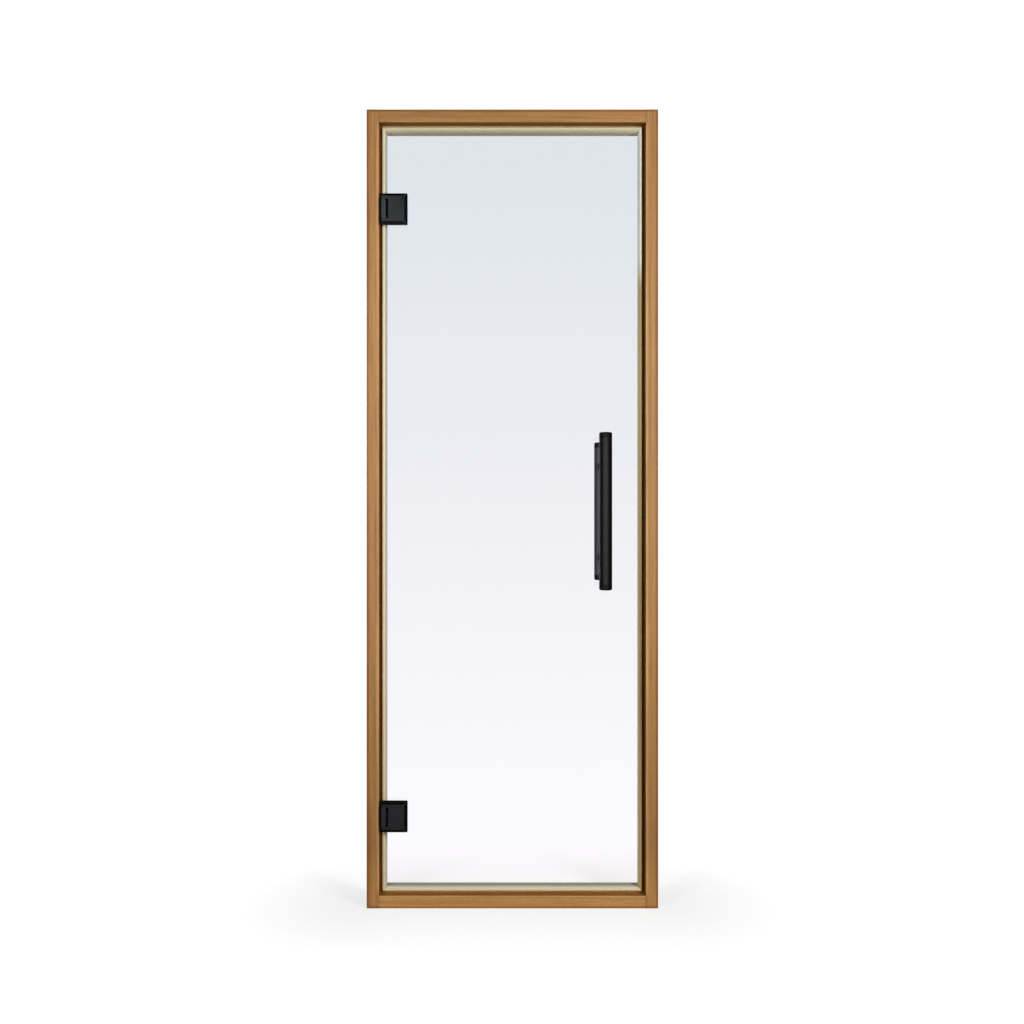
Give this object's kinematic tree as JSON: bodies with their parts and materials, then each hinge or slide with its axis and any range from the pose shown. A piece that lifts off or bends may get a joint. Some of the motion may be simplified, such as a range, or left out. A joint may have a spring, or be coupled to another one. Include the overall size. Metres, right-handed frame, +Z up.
{
  "type": "sauna door",
  "caption": "Sauna door: rebated timber frame with a clear glass leaf on clamp hinges, bar handles inside and out, cream seals and a roller catch.",
  "frame": {"origin": "middle of the sill rail's flat underside, at mid width and mid depth of the timber frame", "axes": "+X from the hinge jamb to the latch jamb, +Y into the sauna room, +Z up; the leaf opens outward, towards -Y"},
  "size_m": [0.69, 0.173, 1.89],
  "materials": {
    "timber": "oiled alder, straight fine grain",
    "seal": "cream silicone, satin",
    "glass": "clear tempered glass with ground edges",
    "hinge_metal": "black powder coat, satin",
    "handle_metal": "black powder coat, satin",
    "gasket": "black rubber, matt",
    "fixings": "blackened steel",
    "catch_metal": "dark grey coat",
    "catch_nylon": "dark grey nylon, matt"
  },
  "bodies": {
    "frame": {"hinge_jamb": "timber", "latch_jamb": "timber", "head_rail": "timber", "sill_rail": "timber", "hinge_side_seal": "seal", "latch_side_seal": "seal", "head_seal": "seal", "sill_seal": "seal", "upper_hinge_frame_leaf": "hinge_metal", "lower_hinge_frame_leaf": "hinge_metal", "catch_plate": "catch_metal", "catch_roller": "catch_nylon"},
    "leaf": {"glass_pane": "glass", "upper_hinge_pin": "fixings", "upper_hinge_outer_plate": "hinge_metal", "upper_hinge_inner_plate": "hinge_metal", "upper_hinge_outer_gasket": "gasket", "upper_hinge_inner_gasket": "gasket", "upper_hinge_top_screw": "fixings", "upper_hinge_bottom_screw": "fixings", "lower_hinge_pin": "fixings", "lower_hinge_outer_plate": "hinge_metal", "lower_hinge_inner_plate": "hinge_metal", "lower_hinge_outer_gasket": "gasket", "lower_hinge_inner_gasket": "gasket", "lower_hinge_top_screw": "fixings", "lower_hinge_bottom_screw": "fixings", "outer_handle_bar": "handle_metal", "outer_handle_top_cap": "handle_metal", "outer_handle_bottom_cap": "handle_metal", "outer_handle_top_post": "handle_metal", "outer_handle_bottom_post": "handle_metal", "outer_handle_top_washer": "gasket", "outer_handle_bottom_washer": "gasket", "inner_handle_bar": "handle_metal", "inner_handle_top_cap": "handle_metal", "inner_handle_bottom_cap": "handle_metal", "inner_handle_top_post": "handle_metal", "inner_handle_bottom_post": "handle_metal", "inner_handle_top_washer": "gasket", "inner_handle_bottom_washer": "gasket", "handle_top_stud": "fixings", "handle_bottom_stud": "fixings"}
  },
  "joints": [
    {"name": "leaf_swing", "type": "hinge", "parent": "frame", "child": "leaf", "pos_m": [-0.3045, -0.029, 0.936], "axis": [0, 0, -1], "range_deg": [0, 110]}
  ]
}
